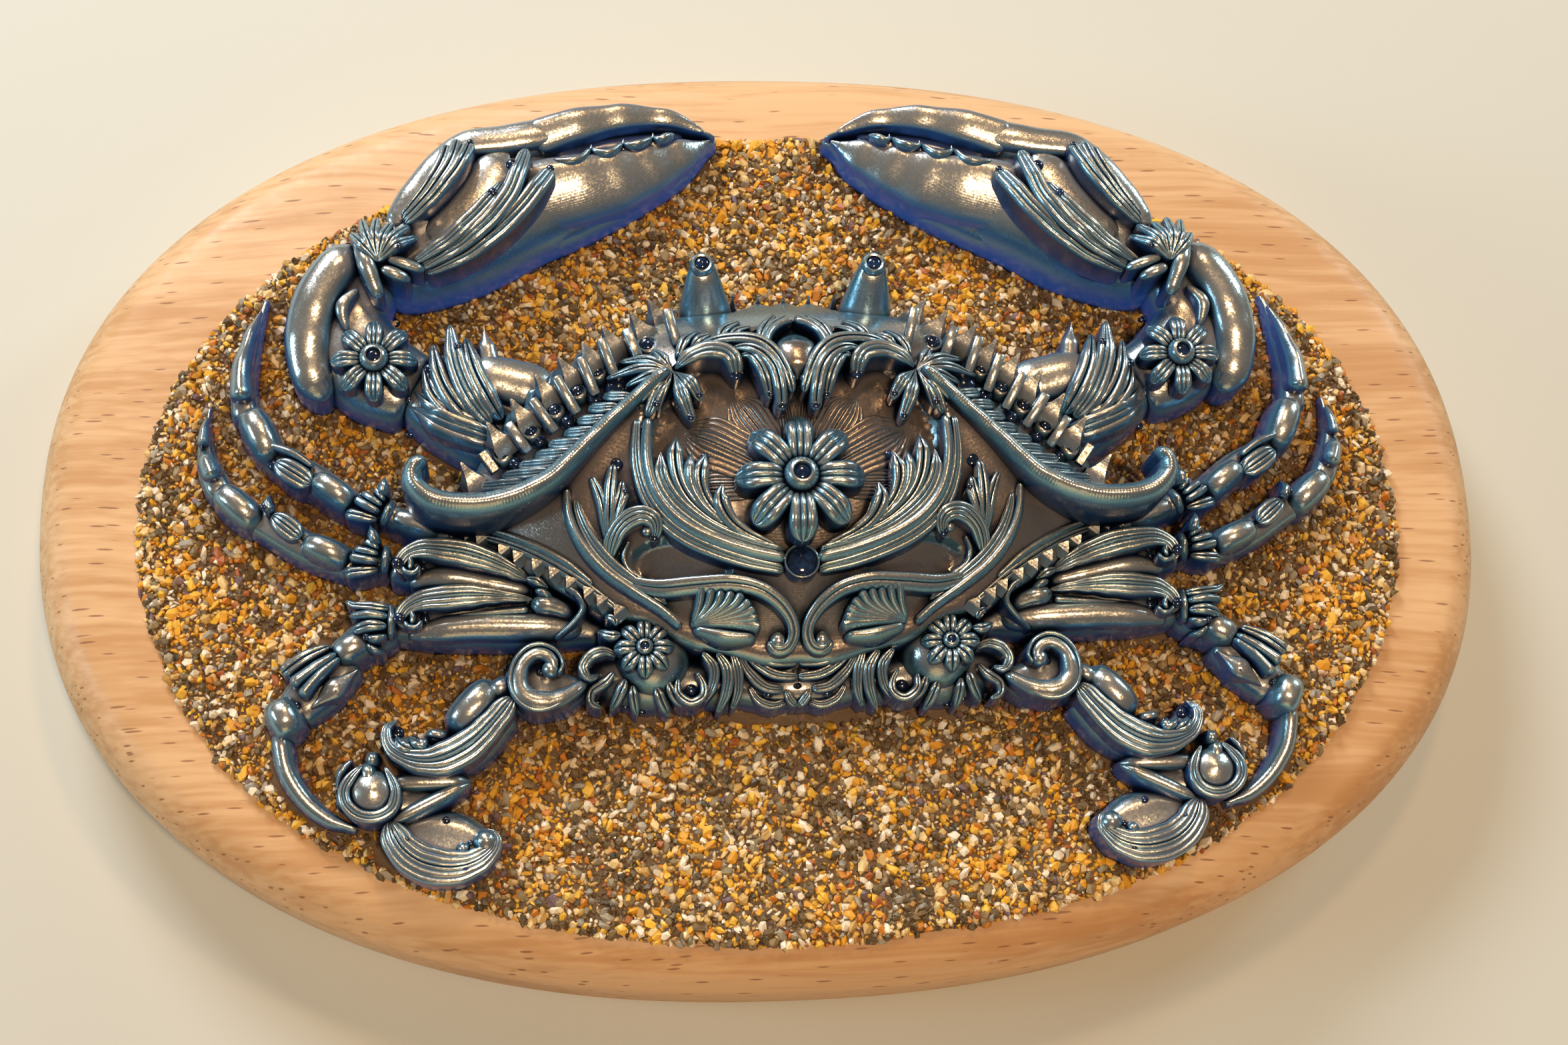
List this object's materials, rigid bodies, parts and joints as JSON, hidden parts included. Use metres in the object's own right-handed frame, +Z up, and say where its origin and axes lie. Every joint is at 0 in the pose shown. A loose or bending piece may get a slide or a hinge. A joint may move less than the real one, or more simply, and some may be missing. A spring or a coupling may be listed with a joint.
{
  "type": "ornamental cast crab figurine on an oval wooden base",
  "caption": "Small display figurine of a crab in ornate scrollwork, cast in translucent blue with a pewter lustre, resting on a bed of coarse sand glued to an oval beech board",
  "frame": {"origin": "middle of the board's underside", "axes": "+Z up, +X the board's long axis and across the crab, +Y the way the crab's head points"},
  "size_m": [0.14, 0.0928, 0.0314],
  "materials": {
    "lustred_resin": "gloss",
    "coarse_sand": "matte",
    "beech": "satin"
  },
  "bodies": {
    "root": {"base_board": "beech", "carapace": "lustred_resin", "centre_rosette": "lustred_resin", "claw_carpus_left": "lustred_resin", "claw_carpus_right": "lustred_resin", "claw_inner_finger_left": "lustred_resin", "claw_inner_finger_right": "lustred_resin", "claw_merus_left": "lustred_resin", "claw_merus_right": "lustred_resin", "claw_outer_finger_left": "lustred_resin", "claw_outer_finger_right": "lustred_resin", "claw_palm_left": "lustred_resin", "claw_palm_right": "lustred_resin", "eye_left": "lustred_resin", "eye_right": "lustred_resin", "horn_scroll_left": "lustred_resin", "horn_scroll_right": "lustred_resin", "leg_1_carpus_left": "lustred_resin", "leg_1_carpus_right": "lustred_resin", "leg_1_dactyl_left": "lustred_resin", "leg_1_dactyl_right": "lustred_resin", "leg_1_merus_left": "lustred_resin", "leg_1_merus_right": "lustred_resin", "leg_1_propodus_left": "lustred_resin", "leg_1_propodus_right": "lustred_resin", "leg_2_carpus_left": "lustred_resin", "leg_2_carpus_right": "lustred_resin", "leg_2_dactyl_left": "lustred_resin", "leg_2_dactyl_right": "lustred_resin", "leg_2_merus_left": "lustred_resin", "leg_2_merus_right": "lustred_resin", "leg_2_propodus_left": "lustred_resin", "leg_2_propodus_right": "lustred_resin", "leg_3_carpus_left": "lustred_resin", "leg_3_carpus_right": "lustred_resin", "leg_3_dactyl_left": "lustred_resin", "leg_3_dactyl_right": "lustred_resin", "leg_3_knuckle_left": "lustred_resin", "leg_3_knuckle_right": "lustred_resin", "leg_3_merus_left": "lustred_resin", "leg_3_merus_right": "lustred_resin", "leg_3_propodus_left": "lustred_resin", "leg_3_propodus_right": "lustred_resin", "sand_bed": "coarse_sand", "swimming_leg_carpus_left": "lustred_resin", "swimming_leg_carpus_right": "lustred_resin", "swimming_leg_coxa_left": "lustred_resin", "swimming_leg_coxa_right": "lustred_resin", "swimming_leg_merus_left": "lustred_resin", "swimming_leg_merus_right": "lustred_resin", "swimming_leg_paddle_left": "lustred_resin", "swimming_leg_paddle_right": "lustred_resin", "swimming_leg_propodus_left": "lustred_resin", "swimming_leg_propodus_right": "lustred_resin", "tail_flap": "lustred_resin"}
  },
  "joints": []
}
